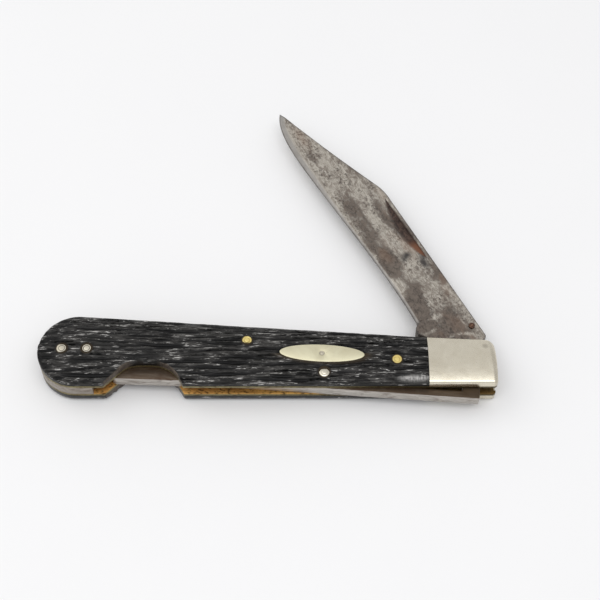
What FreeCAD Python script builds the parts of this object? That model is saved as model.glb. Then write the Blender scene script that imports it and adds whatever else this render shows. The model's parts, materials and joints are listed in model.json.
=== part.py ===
"""Single-blade lock-back folding knife, lying on its side with the blade half open.

Millimetres. The origin is the foot of the blade pivot's axis on the plane the knife lies on. +X runs
along the handle's back towards its front end, so the handle reaches to -X. +Y is the side the blade
folds out of, and -Y is the back, with the rocking lock bar. +Z is up through the handle's thickness.
"""
import FreeCAD, Part
import math
import os

# The stack through the thickness, from the face the knife lies on.
COVER_T = 2.6
LINER_T = 0.75
SLOT_W = 3.0
BLADE_T = 2.9
Z_BACK_LINER = COVER_T
Z_SLOT = Z_BACK_LINER + LINER_T
Z_FRONT_LINER = Z_SLOT + SLOT_W
Z_FRONT_COVER = Z_FRONT_LINER + LINER_T
THICKNESS = Z_FRONT_COVER + COVER_T
Z_MID = THICKNESS / 2
Z_STEEL = Z_MID - BLADE_T / 2
EPS = 1.0
TINY = 1e-6

# The handle's outline: a straight back, a top that climbs towards the butt, and a round butt.
BACK_Y = -7.8
FRONT_X = 6.85
BOLSTER_X = -9.25
BUTT_X = -102.05
FRONT_TOP_Y = 4.3
BOLSTER_TOP_Y = 5.15
TOP_SLOPE = math.radians(4.0)
BUTT_TOP_Y = BOLSTER_TOP_Y + (BOLSTER_X - BUTT_X) * math.tan(TOP_SLOPE)
BUTT_R = 9.3
FRONT_TOP_R = 2.3
FRONT_BACK_R = 0.8
COVER_GAP = 0.05

# The covers' outer faces: a crown along the handle with a flat strip, and rounded rims.
CROWN_R = 26.5
CROWN_CLIP = 0.15
CROWN_AXIS_Y = -1.49
CROWN_TILT = math.radians(2.0)
RIM_R = 1.2

# The thumb cut-out in the back edge, through both covers and both liners.
CUTOUT_REAR_X = -85.9
CUTOUT_FRONT_X = -67.1
CUTOUT_TOP_Y = -2.15
CUTOUT_REAR_RUN = 5.65
CUTOUT_FRONT_RUN = 3.2
CUTOUT_REAR_R = 6.0
CUTOUT_FRONT_R = 8.0

# The pins: (x, y) centres and radii.
PIVOT_R = 1.25
BUTT_PIN_R = 1.2
ROCKER_R = 1.2
COVER_PIN_R = 1.1
SHIELD_PIN_R = 0.6
BUTT_PIN_REAR = (-96.05, 1.2)
BUTT_PIN_FRONT = (-90.15, 1.2)
ROCKER = (-33.9, -5.1)
COVER_PIN_REAR = (-52.2, 3.4)
COVER_PIN_FRONT = (-16.7, -1.8)
ROCKER_SUNK = 0.02
ROCKER_DOME = 0.5
SEAT_GAP = 0.01
RUNNING_GAP = 0.04

# The shield: a long oval let into the front cover.
SHIELD = (-34.4, -0.2)
SHIELD_L = 20.1
SHIELD_H = 4.65
SHIELD_T = 0.6
SHIELD_TILT = -2.7
SHIELD_PIN_L = 1.6

# The blade, drawn fully open: its spine in line with the back, its edge towards +Y.
OPEN_TURN = 117.9
SHOULDER_X = 2.9
SHOULDER_R = 0.9
SPINE_Y = BACK_Y
SPINE_END_X = 49.8
CLIP_BEND = (53.1, -7.6)
CLIP_START = (56.0, -6.8)
CLIP_MID = (76.0, -0.21)
TIP = (89.3, 3.7)
BELLY = [(86.5, 5.2), (83.0, 6.15), (77.0, 6.78), (66.0, 6.62), (40.0, 5.12)]
HEEL = (13.9, 4.9)
KICK = [(13.3, 6.0), (12.4, 6.5), (11.4, 6.4), (9.6, 5.1)]
TANG_TOP_Y = 5.1
SEAT_X = 1.1
SEAT_Y = 3.0
CAM_R = 5.9
NOTCH_REAR_X = -1.3
NOTCH_Y = -3.3
PLUNGE_SPINE_X = 16.6
PLUNGE_EDGE_X = 13.9
EDGE_HALF_T = 0.3
GRIND_EDGE_Y = 7.0
NICK_X0 = 29.6
NICK_X1 = 50.8
NICK_Y = -6.95
NICK_W = 2.55
NICK_DEPTH = 0.6
STOP_PIN = (7.2, -6.0)
STOP_PIN_R = 0.75
STOP_PIN_PROUD = 0.7
STOP_NOTCH_GAP = 0.03
STOP_NOTCH_H = 1.8

# The lock bar, drawn flush with the back: it is stored rocked, its hook riding on the tang.
ROCKED_TURN = -4.37
HOOK_FRONT_R = 0.3
HOOK_R = 0.2
NECK_ROOT_R = 0.5
NECK_END_R = 8.0
HUB_FRONT_R = 6.0
HUB_REAR_R = 8.0
TAIL_R = 12.0
TAIL_END_R = 1.2
SWEEP_R = 60.0
HOOK_FRONT_X = 2.8
HOOK_REAR_X = -1.2
HOOK_Y = -3.4
NECK_Y = -6.05
NECK_END_X = -14.0
HUB_FRONT_X = -26.0
HUB_REAR_X = -42.0
HUB_Y = -2.9
BAR_REAR_X = -84.2
BAR_SWEEP_X = -54.0
BAR_REAR_Y = -9.0
BAR_THIN_X = -58.0
BAR_THIN_Y = -5.1
BAR_TAIL_Y = -5.35

# The back spring: a leaf on the lock bar's tail, in one piece with the spacer that fills the butt.
SPACER_X = -88.5
SPACER_TOP_X = -90.4
SPACER_STEP_Y = 2.5
SPACER_STEP_R = 0.3
SPACER_RISE = 0.8
LEAF_T = 1.0
LEAF_ROOT = (SPACER_X, SPACER_STEP_Y - LEAF_T / 2)
LEAF_KNEES = [(-84.0, 1.1), (-77.5, -0.1), (-70.0, -0.8)]
LEAF_TIP = (-60.0, -2.5)
LEAF_TIP_R = 0.3
LEAF_KNEE_R = 6.0
LEAF_UNDER_R = 0.4
LEAF_OVER_R = 1.5


def vector(x, y, z=0.0):
    return FreeCAD.Vector(x, y, z)


def corner_arc(before, here, after, radius):
    """Start, middle and end of the arc that rounds one corner of an outline."""
    to_before = (before - here).normalize()
    to_after = (after - here).normalize()
    half = to_before.getAngle(to_after) / 2
    run = radius / math.tan(half)
    inward = (to_before + to_after).normalize()
    centre = here + inward * (radius / math.sin(half))
    return here + to_before * run, centre - inward * radius, here + to_after * run


def rounded_face(corners):
    """A flat face whose outline has corners (x, y, rounding radius)."""
    points = [vector(x, y) for x, y, radius in corners]
    edges = []
    ends = []
    for i, (x, y, radius) in enumerate(corners):
        start = end = points[i]
        if radius > 0:
            following = points[(i + 1) % len(points)]
            start, middle, end = corner_arc(points[i - 1], points[i], following, radius)
            edges.append(Part.Arc(start, middle, end).toShape())
        ends.append((start, end))
    for (start, end), (next_start, next_end) in zip(ends, ends[1:] + ends[:1]):
        edges.append(Part.LineSegment(end, next_start).toShape())
    return Part.Face(Part.Wire(Part.__sortEdges__(edges)))


def raise_face(face, z0, height):
    solid = face.extrude(vector(0, 0, height))
    solid.translate(vector(0, 0, z0))
    return solid


def round_bar(centre, radius, z0, z1):
    return Part.makeCylinder(radius, z1 - z0, vector(centre[0], centre[1], z0))


def turned(shape, centre, degrees):
    """The shape turned about the vertical axis through centre."""
    moved = shape.copy()
    moved.rotate(vector(centre[0], centre[1]), vector(0, 0, 1), degrees)
    return moved


def handle_face():
    return rounded_face([
        (FRONT_X, BACK_Y, FRONT_BACK_R),
        (FRONT_X, FRONT_TOP_Y, FRONT_TOP_R),
        (BOLSTER_X, BOLSTER_TOP_Y, 0),
        (BUTT_X, BUTT_TOP_Y, BUTT_R),
        (BUTT_X, BACK_Y, BUTT_R),
    ])


def thumb_cutout():
    """The tool that cuts the thumb's half moon through the whole thickness."""
    below = BACK_Y - EPS
    face = rounded_face([
        (CUTOUT_REAR_X - EPS, below, 0),
        (CUTOUT_REAR_X + CUTOUT_REAR_RUN, CUTOUT_TOP_Y, CUTOUT_REAR_R),
        (CUTOUT_FRONT_X - CUTOUT_FRONT_RUN, CUTOUT_TOP_Y, CUTOUT_FRONT_R),
        (CUTOUT_FRONT_X + EPS * CUTOUT_FRONT_RUN / (CUTOUT_TOP_Y - BACK_Y), below, 0),
    ])
    return raise_face(face, -EPS, THICKNESS + 2 * EPS)


def pin_holes(pins, radius):
    return [round_bar(pin, radius + SEAT_GAP, -EPS, THICKNESS + EPS) for pin in pins]


def through_holes():
    """Holes for the pins that pass through the whole handle."""
    return (
        pin_holes([(0, 0)], PIVOT_R)
        + pin_holes([BUTT_PIN_REAR, BUTT_PIN_FRONT], BUTT_PIN_R)
        + pin_holes([ROCKER], ROCKER_R)
    )


def cover_holes():
    return pin_holes([COVER_PIN_REAR, COVER_PIN_FRONT], COVER_PIN_R)


def stop_notch():
    """The notch in the liners' front ends that the open blade's stop pin comes down into."""
    x = STOP_PIN[0] - STOP_PIN_R - STOP_NOTCH_GAP
    y = STOP_PIN[1] - STOP_PIN_R - STOP_NOTCH_GAP
    return Part.makeBox(FRONT_X - x + EPS, STOP_NOTCH_H, THICKNESS, vector(x, y))


def liner(z0):
    blank = raise_face(handle_face(), z0, LINER_T)
    return blank.cut([thumb_cutout(), stop_notch()] + through_holes() + cover_holes())


def cover_blank():
    """Both covers' outer shape, front side: crowned, with a rounded rim."""
    slab = raise_face(handle_face(), Z_FRONT_COVER, COVER_T)
    rim = [
        edge for edge in slab.Edges
        if abs(edge.BoundBox.ZMin - THICKNESS) < TINY
    ]
    slab = slab.makeFillet(RIM_R, rim)
    along = vector(-math.cos(CROWN_TILT), math.sin(CROWN_TILT))
    base = vector(0, CROWN_AXIS_Y, THICKNESS + CROWN_CLIP - CROWN_R) - along * 2 * BUTT_R
    crown = Part.makeCylinder(CROWN_R, BUTT_R * 2 - BUTT_X + BUTT_R, base, along)
    return slab.common(crown)


def length_of(blank, x0, x1):
    """The stretch of a blank between two stations along the handle."""
    reach = 4 * BUTT_R
    box = Part.makeBox(x1 - x0, reach, THICKNESS + 2 * EPS, vector(x0, -reach / 2, -EPS))
    return blank.common(box)


def to_back(shape):
    """The same shape on the other side of the handle."""
    return shape.mirror(vector(0, 0, Z_MID), vector(0, 0, 1))


def bolster():
    whole = length_of(cover_blank(), BOLSTER_X, FRONT_X + EPS)
    return whole.cut(through_holes())


def cover():
    whole = length_of(cover_blank(), BUTT_X - EPS, BOLSTER_X - COVER_GAP)
    return whole.cut([thumb_cutout()] + through_holes() + cover_holes())


def shield_face():
    oval = Part.Ellipse(vector(*SHIELD), SHIELD_L / 2, SHIELD_H / 2)
    return turned(Part.Face(Part.Wire(oval.toShape())), SHIELD, SHIELD_TILT)


def shield():
    plate = raise_face(shield_face(), THICKNESS - SHIELD_T, SHIELD_T)
    return plate.cut(round_bar(SHIELD, SHIELD_PIN_R + SEAT_GAP, 0, THICKNESS + EPS))


def shield_pin():
    return round_bar(SHIELD, SHIELD_PIN_R, THICKNESS - SHIELD_PIN_L, THICKNESS)


def front_scale():
    recess = raise_face(shield_face(), THICKNESS - SHIELD_T - SEAT_GAP, SHIELD_T + EPS)
    hole = round_bar(SHIELD, SHIELD_PIN_R + SEAT_GAP, THICKNESS - SHIELD_PIN_L - SEAT_GAP, THICKNESS)
    return cover().cut([recess, hole])


def cover_pin(centre):
    """A short pin that holds a cover to its liner, domed flush with the cover."""
    pin = round_bar(centre, COVER_PIN_R, Z_FRONT_LINER, THICKNESS)
    return pin.common(cover_blank().fuse(raise_face(handle_face(), Z_FRONT_LINER, LINER_T)))


def rocker_pin():
    """The lock bar's pin, right through the handle, with a domed head on both sides."""
    pin = round_bar(ROCKER, ROCKER_R, ROCKER_SUNK, THICKNESS - ROCKER_SUNK)
    ends = [edge for edge in pin.Edges if edge.BoundBox.ZLength < TINY]
    return pin.makeFillet(ROCKER_DOME, ends)


def straight_edges(points):
    return [Part.LineSegment(a, b).toShape() for a, b in zip(points, points[1:])]


def tang_edges():
    """The tang's outline, from the kick round the cam to the shoulder."""
    angle_seat = math.asin(SEAT_Y / CAM_R)
    seat_end = vector(-CAM_R * math.cos(angle_seat), SEAT_Y)
    notch_foot = vector(NOTCH_REAR_X, -math.sqrt(CAM_R ** 2 - NOTCH_REAR_X ** 2))
    cam = Part.Arc(seat_end, vector(-CAM_R, 0), notch_foot).toShape()
    before = [
        vector(*KICK[-1]),
        vector(SEAT_X, TANG_TOP_Y),
        vector(SEAT_X, SEAT_Y),
        seat_end,
    ]
    after = [
        notch_foot,
        vector(NOTCH_REAR_X, NOTCH_Y),
        vector(SHOULDER_X, NOTCH_Y),
    ]
    return straight_edges(before) + [cam] + straight_edges(after)


def blade_face():
    """The blade's outline, counter-clockwise from the spine's shoulder."""
    notch_end = vector(SHOULDER_X, NOTCH_Y)
    spine_end = vector(SPINE_END_X, SPINE_Y)
    clip_start = vector(*CLIP_START)
    shoulder = corner_arc(notch_end, vector(SHOULDER_X, SPINE_Y), spine_end, SHOULDER_R)
    tip = vector(*TIP)
    heel = vector(*HEEL)
    belly = Part.BSplineCurve()
    belly.interpolate([tip] + [vector(x, y) for x, y in BELLY] + [heel])
    edges = [
        Part.Arc(*shoulder).toShape(),
        Part.LineSegment(shoulder[2], spine_end).toShape(),
        Part.Arc(spine_end, vector(*CLIP_BEND), clip_start).toShape(),
        Part.Arc(clip_start, vector(*CLIP_MID), tip).toShape(),
        belly.toShape(),
    ]
    edges += straight_edges([heel] + [vector(x, y) for x, y in KICK])
    edges += tang_edges()
    edges.append(Part.LineSegment(notch_end, shoulder[0]).toShape())
    return Part.Face(Part.Wire(edges))


def grind_tool():
    """The wedge taken off one side, from full thickness at the spine to the thin edge."""
    half = BLADE_T / 2
    profile = Part.makePolygon([
        vector(0, SPINE_Y, Z_MID + half),
        vector(0, GRIND_EDGE_Y, Z_MID + EDGE_HALF_T),
        vector(0, GRIND_EDGE_Y + EPS, Z_MID + half + EPS),
        vector(0, SPINE_Y, Z_MID + half + EPS),
        vector(0, SPINE_Y, Z_MID + half),
    ])
    wedge = Part.Face(profile).extrude(vector(TIP[0] + EPS, 0, 0))
    ground = rounded_face([
        (PLUNGE_SPINE_X, SPINE_Y - EPS, 0),
        (TIP[0] + EPS, SPINE_Y - EPS, 0),
        (TIP[0] + EPS, GRIND_EDGE_Y + 2 * EPS, 0),
        (PLUNGE_EDGE_X, GRIND_EDGE_Y + 2 * EPS, 0),
    ])
    return wedge.common(raise_face(ground, Z_MID, BLADE_T))


def nick_tool():
    """The nail nick: a half moon with a steep wall on the spine's side and a sloping floor."""
    face_z = Z_MID + BLADE_T / 2
    middle = (NICK_X0 + NICK_X1) / 2
    near = vector(NICK_X0, NICK_Y)
    far = vector(NICK_X1, NICK_Y)
    wall = Part.LineSegment(far, near).toShape()
    bow = Part.Arc(near, vector(middle, NICK_Y + NICK_W), far).toShape()
    moon = raise_face(Part.Face(Part.Wire([wall, bow])), Z_MID, BLADE_T)
    drop = (BLADE_T / 2 - EDGE_HALF_T) / (GRIND_EDGE_Y - SPINE_Y)
    floor_z = face_z - drop * (NICK_Y - SPINE_Y) - NICK_DEPTH
    lip_z = face_z - drop * (NICK_Y + NICK_W - SPINE_Y)
    profile = Part.makePolygon([
        vector(0, NICK_Y - EPS, floor_z),
        vector(0, NICK_Y, floor_z),
        vector(0, NICK_Y + NICK_W, lip_z),
        vector(0, NICK_Y + NICK_W, face_z + EPS),
        vector(0, NICK_Y - EPS, face_z + EPS),
        vector(0, NICK_Y - EPS, floor_z),
    ])
    return moon.common(Part.Face(profile).extrude(vector(NICK_X1 + EPS, 0, 0)))


def blade_open():
    blank = raise_face(blade_face(), Z_STEEL, BLADE_T)
    front = grind_tool()
    holes = [
        round_bar((0, 0), PIVOT_R + RUNNING_GAP, 0, THICKNESS),
        round_bar(STOP_PIN, STOP_PIN_R + SEAT_GAP, 0, THICKNESS),
    ]
    return blank.cut([front, to_back(front), nick_tool()] + holes)


def stop_pin_open():
    return round_bar(
        STOP_PIN, STOP_PIN_R, Z_STEEL - STOP_PIN_PROUD, Z_STEEL + BLADE_T + STOP_PIN_PROUD
    )


def lock_bar_flush():
    """The lock bar: a hook at the front, a hub round its pin, and a tail under the spring."""
    face = rounded_face([
        (HOOK_FRONT_X, BACK_Y, HOOK_FRONT_R),
        (HOOK_FRONT_X, HOOK_Y, HOOK_R),
        (HOOK_REAR_X, HOOK_Y, HOOK_R),
        (HOOK_REAR_X, NECK_Y, NECK_ROOT_R),
        (NECK_END_X, NECK_Y, NECK_END_R),
        (HUB_FRONT_X, HUB_Y, HUB_FRONT_R),
        (HUB_REAR_X, HUB_Y, HUB_REAR_R),
        (BAR_THIN_X, BAR_THIN_Y, TAIL_R),
        (BAR_REAR_X, BAR_TAIL_Y, TAIL_END_R),
        (BAR_REAR_X, BAR_REAR_Y, TAIL_END_R),
        (BAR_SWEEP_X, BACK_Y, SWEEP_R),
    ])
    bar = raise_face(face, Z_STEEL, BLADE_T)
    return bar.cut(round_bar(ROCKER, ROCKER_R + RUNNING_GAP, 0, THICKNESS))


def leaf_side(offset):
    """One long side of the leaf, from its root to its tip, offset from its middle line."""
    knees = [(x, y + offset, LEAF_KNEE_R) for x, y in LEAF_KNEES]
    return knees + [(LEAF_TIP[0], LEAF_TIP[1] + offset, LEAF_TIP_R)]


def back_spring():
    half = LEAF_T / 2
    root_x, root_y = LEAF_ROOT
    leaf_and_spacer = rounded_face(
        [(SPACER_X, BACK_Y - EPS, 0), (root_x, root_y - half, LEAF_UNDER_R)]
        + leaf_side(-half)
        + leaf_side(half)[::-1]
        + [
            (root_x, root_y + half, LEAF_OVER_R),
            (SPACER_TOP_X, SPACER_STEP_Y + SPACER_RISE, SPACER_STEP_R),
            (SPACER_TOP_X, BUTT_TOP_Y + EPS, 0),
            (BUTT_X - EPS, BUTT_TOP_Y + EPS, 0),
            (BUTT_X - EPS, BACK_Y - EPS, 0),
        ]
    )
    blank = raise_face(leaf_and_spacer, Z_SLOT, SLOT_W)
    inside = raise_face(handle_face(), Z_SLOT, SLOT_W)
    return blank.common(inside).cut(through_holes())


def blade_at_rest(shape):
    return turned(shape, (0, 0), OPEN_TURN)


def lock_bar_at_rest():
    return turned(lock_bar_flush(), ROCKER, ROCKED_TURN)


def through_pin(centre, radius):
    return round_bar(centre, radius, 0, THICKNESS)


def all_parts():
    bolster_shape = bolster()
    pins = {"rear": cover_pin(COVER_PIN_REAR), "front": cover_pin(COVER_PIN_FRONT)}
    return {
        "front_liner": liner(Z_FRONT_LINER),
        "back_liner": liner(Z_BACK_LINER),
        "front_bolster": bolster_shape,
        "back_bolster": to_back(bolster_shape),
        "front_scale": front_scale(),
        "back_scale": to_back(cover()),
        "shield": shield(),
        "shield_pin": shield_pin(),
        "front_scale_pin_rear": pins["rear"],
        "front_scale_pin_front": pins["front"],
        "back_scale_pin_rear": to_back(pins["rear"]),
        "back_scale_pin_front": to_back(pins["front"]),
        "butt_pin_rear": through_pin(BUTT_PIN_REAR, BUTT_PIN_R),
        "butt_pin_front": through_pin(BUTT_PIN_FRONT, BUTT_PIN_R),
        "back_spring": back_spring(),
        "lock_bar": lock_bar_at_rest(),
        "lock_bar_pin": rocker_pin(),
        "blade_pivot_pin": through_pin((0, 0), PIVOT_R),
        "blade": blade_at_rest(blade_open()),
        "tang_stop_pin": blade_at_rest(stop_pin_open()),
    }


os.makedirs("parts", exist_ok=True)
for node, shape in all_parts().items():
    solid = shape.Solids[0]
    solid.exportStep(os.path.join("parts", node + ".step"))
    print(node, len(shape.Solids), round(solid.Volume, 1), solid.isValid())
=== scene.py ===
"""Looks for the lock-back whittling knife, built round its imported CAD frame.

The script works in millimetres in the frame's own axes and scales to metres where a mesh is made. x runs
along the handle to its front end, y across it from the back to the blade's slot, and z up through it.
"""
import json
import math
import random

import bmesh
import bpy
import numpy as np
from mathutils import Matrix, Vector


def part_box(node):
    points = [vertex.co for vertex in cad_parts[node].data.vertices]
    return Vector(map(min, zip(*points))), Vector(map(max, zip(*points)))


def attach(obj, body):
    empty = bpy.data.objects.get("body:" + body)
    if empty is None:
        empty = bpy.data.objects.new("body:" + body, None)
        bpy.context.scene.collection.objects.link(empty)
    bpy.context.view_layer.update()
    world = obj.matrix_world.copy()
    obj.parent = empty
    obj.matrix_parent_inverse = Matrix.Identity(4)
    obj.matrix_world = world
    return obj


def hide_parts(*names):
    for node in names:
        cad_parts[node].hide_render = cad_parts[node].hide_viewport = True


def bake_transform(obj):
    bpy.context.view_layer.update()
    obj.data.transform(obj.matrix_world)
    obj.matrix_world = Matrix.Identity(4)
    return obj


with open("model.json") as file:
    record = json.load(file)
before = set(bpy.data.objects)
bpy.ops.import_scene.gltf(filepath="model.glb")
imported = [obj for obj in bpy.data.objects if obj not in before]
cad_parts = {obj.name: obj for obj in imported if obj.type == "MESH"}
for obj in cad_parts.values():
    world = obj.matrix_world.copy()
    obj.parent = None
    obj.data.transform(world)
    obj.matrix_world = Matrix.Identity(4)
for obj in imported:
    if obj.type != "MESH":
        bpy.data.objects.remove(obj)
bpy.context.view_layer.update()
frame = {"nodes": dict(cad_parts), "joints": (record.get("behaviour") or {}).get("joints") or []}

MM = 0.001

# ------------------------------------------------------------------ what the frame says


def box_mm(node):
    low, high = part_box(node)
    return low / MM, high / MM


def middle_mm(node):
    low, high = box_mm(node)
    return (low + high) / 2


def joint(name):
    return next(j for j in frame["joints"] if j["name"] == name)


HANDLE_LOW = box_mm("back_liner")[0]
HANDLE_HIGH = box_mm("front_liner")[1]
BACK_Y = HANDLE_LOW.y
BOTTOM_Z = box_mm("back_bolster")[0].z
TOP_Z = box_mm("front_bolster")[1].z
MID_Z = (BOTTOM_Z + TOP_Z) / 2
FRONT_LINER_Z = HANDLE_HIGH.z
BOLSTER_X = box_mm("front_bolster")[0].x
SCALE_X = box_mm("front_scale")[1].x
BLADE_LOW, BLADE_HIGH = box_mm("blade")
BLADE_HALF_T = (BLADE_HIGH.z - BLADE_LOW.z) / 2
OPEN_TURN = math.radians(joint("blade_pivot")["range_deg"][0])
UPRIGHT_RUN = 1e-9  # an edge that runs less than this along x stands upright


def turned(points, angle):
    """An array of (x, y) turned about the blade's pivot, which is the frame's origin."""
    c, s = math.cos(angle), math.sin(angle)
    return np.stack([points[:, 0] * c - points[:, 1] * s, points[:, 0] * s + points[:, 1] * c], 1)


def node_edges(node, angle=0.0):
    """Both ends of every mesh edge of a CAD node, in plan, turned by an angle."""
    mesh = frame["nodes"][node].data
    co = np.array([v.co[:2] for v in mesh.vertices]) / MM
    co = turned(co, angle)
    ends = np.array([e.vertices[:] for e in mesh.edges])
    return co[ends[:, 0]], co[ends[:, 1]]


def span_at(edges, xs):
    """The lowest and highest y of a node's plan at each x."""
    a, b = edges
    low = np.empty(len(xs))
    high = np.empty(len(xs))
    for i, x in enumerate(xs):
        crosses = (a[:, 0] - x) * (b[:, 0] - x) <= 0
        pa, pb = a[crosses], b[crosses]
        run = pb[:, 0] - pa[:, 0]
        slanted = abs(run) > UPRIGHT_RUN
        share = np.where(slanted, (x - pa[:, 0]) / np.where(slanted, run, 1), 0)
        y = pa[:, 1] + (pb[:, 1] - pa[:, 1]) * share
        y = np.concatenate([y, pb[~slanted][:, 1]])
        low[i], high[i] = y.min(), y.max()
    return low, high


# ------------------------------------------------------------------ mesh helpers

NOISE_CELLS = 256
NOISE_SHIFT = 1000.0  # keeps the cell numbers positive
NARROW = 4  # the rim's rows close up where a column is narrower than this


def smoothstep(low, high, value):
    t = np.clip((value - low) / (high - low), 0, 1)
    return t * t * (3 - 2 * t)


def value_noise(x, y, size, seed):
    """Smooth noise from 0 to 1 with features of a given size."""
    grid = np.random.RandomState(seed).rand(NOISE_CELLS, NOISE_CELLS)
    u, v = x / size + NOISE_SHIFT, y / size + NOISE_SHIFT
    iu, iv = np.floor(u).astype(int), np.floor(v).astype(int)
    fu, fv = u - iu, v - iv
    fu, fv = fu * fu * (3 - 2 * fu), fv * fv * (3 - 2 * fv)
    iu, iv = iu % NOISE_CELLS, iv % NOISE_CELLS
    ju, jv = (iu + 1) % NOISE_CELLS, (iv + 1) % NOISE_CELLS
    low = grid[iu, iv] * (1 - fu) + grid[ju, iv] * fu
    high = grid[iu, jv] * (1 - fu) + grid[ju, jv] * fu
    return low * (1 - fv) + high * fv


def fractal(x, y, size, seed, octaves=4):
    """Layers of smooth noise, each half the size and half the weight of the one before."""
    total = np.zeros_like(x)
    weight = 1.0
    norm = 0.0
    for k in range(octaves):
        total += weight * value_noise(x, y, size / 2 ** k, seed + k)
        norm += weight
        weight *= 0.5
    return total / norm


def make_piece(name, points, faces, material, body, smooth_angle):
    """A new object from points in mm, faces outward, with smooth shading up to an angle in degrees."""
    mesh = bpy.data.meshes.new(name)
    mesh.from_pydata([tuple(float(c) * MM for c in p) for p in points], [], faces)
    mesh.update()
    clean = bmesh.new()
    clean.from_mesh(mesh)
    bmesh.ops.recalc_face_normals(clean, faces=clean.faces)
    if clean.calc_volume(signed=True) < 0:
        bmesh.ops.reverse_faces(clean, faces=clean.faces)
    clean.to_mesh(mesh)
    clean.free()
    return dress(mesh, name, material, body, smooth_angle)


def dress(mesh, name, material, body, smooth_angle):
    """An object of a mesh, shaded, slotted and riding its body, if it has one."""
    mesh.materials.clear()
    mesh.materials.append(material)
    mesh.shade_smooth()
    mesh.set_sharp_from_angle(angle=math.radians(smooth_angle))
    piece = bpy.data.objects.new(name, mesh)
    bpy.context.scene.collection.objects.link(piece)
    if body:
        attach(piece, body)
    return piece


def points_mm(piece):
    return np.array([v.co for v in piece.data.vertices]) / MM


def set_attribute(piece, name, values):
    """A float on each of the piece's first points, and 0 on the rest."""
    layer = piece.data.attributes.new(name, "FLOAT", "POINT")
    full = np.zeros(len(piece.data.vertices), np.float32)
    full[:len(values)] = values
    layer.data.foreach_set("value", full)


def rows_between(low, high, count, rim):
    """Row positions across each column: rim's own steps at both rims, even steps between them."""
    width = high - low
    shrink = np.minimum(1, width / NARROW)[:, None]
    near = np.array(rim)[None, :] * shrink
    share = np.linspace(0, 1, count)[None, 1:-1]
    start = low[:, None] + near
    end = high[:, None] - near[:, ::-1]
    inner_low, inner_high = start[:, -1:], end[:, :1]
    inner = inner_low + (inner_high - inner_low) * share
    return np.concatenate([start, inner, end], 1)


def column_faces(columns, rows, offset=0):
    """Quads of a grid of columns by rows."""
    faces = []
    for i in range(columns - 1):
        for j in range(rows - 1):
            a = offset + i * rows + j
            faces.append((a, a + rows, a + rows + 1, a + 1))
    return faces


# ------------------------------------------------------------------ materials


def linear(r, g, b):
    """A colour given as 0 to 255 display values, as the shader wants it."""
    def one(c):
        c /= 255
        return c / 12.92 if c <= 0.04045 else ((c + 0.055) / 1.055) ** 2.4
    return one(r), one(g), one(b), 1.0


# A Mix node's sockets for colours, by number: its sockets for other types have the same names.
MIX_SHARE, MIX_FIRST, MIX_SECOND, MIX_RESULT = 0, 6, 7, 2


class Shader:
    """A Principled material and short calls that add nodes to it."""

    def __init__(self, name, metallic, roughness, specular=0.5):
        self.material = bpy.data.materials.new(name)
        self.material.use_nodes = True
        self.tree = self.material.node_tree
        self.bsdf = self.tree.nodes["Principled BSDF"]
        self.bsdf.inputs["Metallic"].default_value = metallic
        self.bsdf.inputs["Roughness"].default_value = roughness
        self.bsdf.inputs["Specular IOR Level"].default_value = specular
        self.place = self.tree.nodes.new("ShaderNodeTexCoord").outputs["Object"]

    def link(self, source, target):
        self.tree.links.new(source, target)

    def feed(self, node, socket, value):
        if hasattr(value, "is_linked"):
            self.link(value, node.inputs[socket])
        else:
            node.inputs[socket].default_value = value

    def stretched(self, scale, turn=0.0, offset=(0, 0, 0)):
        """The object's own coordinates, turned about z and moved, then scaled along each axis."""
        first = self.tree.nodes.new("ShaderNodeMapping")
        first.inputs["Rotation"].default_value = (0, 0, turn)
        first.inputs["Location"].default_value = offset
        self.link(self.place, first.inputs["Vector"])
        second = self.tree.nodes.new("ShaderNodeMapping")
        second.inputs["Scale"].default_value = scale
        self.link(first.outputs[0], second.inputs["Vector"])
        return second.outputs[0]

    def noise(self, where, size_mm, detail=4.0, rough=0.55, distort=0.0):
        node = self.tree.nodes.new("ShaderNodeTexNoise")
        self.link(where, node.inputs["Vector"])
        node.inputs["Scale"].default_value = 1 / (size_mm * MM)
        node.inputs["Detail"].default_value = detail
        node.inputs["Roughness"].default_value = rough
        node.inputs["Distortion"].default_value = distort
        return node.outputs["Fac"]

    def ramp(self, value, *stops):
        """A colour or grey ramp from (position, colour or grey) stops."""
        node = self.tree.nodes.new("ShaderNodeValToRGB")
        self.feed(node, "Fac", value)
        given = len(node.color_ramp.elements)
        for k, (place, colour) in enumerate(stops):
            if k < given:
                stop = node.color_ramp.elements[k]
                stop.position = place
            else:
                stop = node.color_ramp.elements.new(place)
            stop.color = colour if isinstance(colour, tuple) else (colour, colour, colour, 1)
        return node.outputs["Color"]

    def mix(self, share, first, second):
        node = self.tree.nodes.new("ShaderNodeMix")
        node.data_type = "RGBA"
        node.clamp_factor = True
        self.feed(node, MIX_SHARE, share)
        self.feed(node, MIX_FIRST, first)
        self.feed(node, MIX_SECOND, second)
        return node.outputs[MIX_RESULT]

    def calc(self, operation, first, second):
        """A math node's result, kept between 0 and 1."""
        node = self.tree.nodes.new("ShaderNodeMath")
        node.operation = operation
        node.use_clamp = True
        self.feed(node, 0, first)
        self.feed(node, 1, second)
        return node.outputs[0]

    def attribute(self, name):
        node = self.tree.nodes.new("ShaderNodeAttribute")
        node.attribute_name = name
        return node.outputs["Fac"]

    def bump(self, height, strength, depth_mm):
        node = self.tree.nodes.new("ShaderNodeBump")
        node.inputs["Strength"].default_value = strength
        node.inputs["Distance"].default_value = depth_mm * MM
        self.link(height, node.inputs["Height"])
        self.link(node.outputs[0], self.bsdf.inputs["Normal"])

    def finish(self, colour=None, roughness=None):
        if colour is not None:
            self.link(colour, self.bsdf.inputs["Base Color"])
        if roughness is not None:
            self.link(roughness, self.bsdf.inputs["Roughness"])
        return self.material


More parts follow.
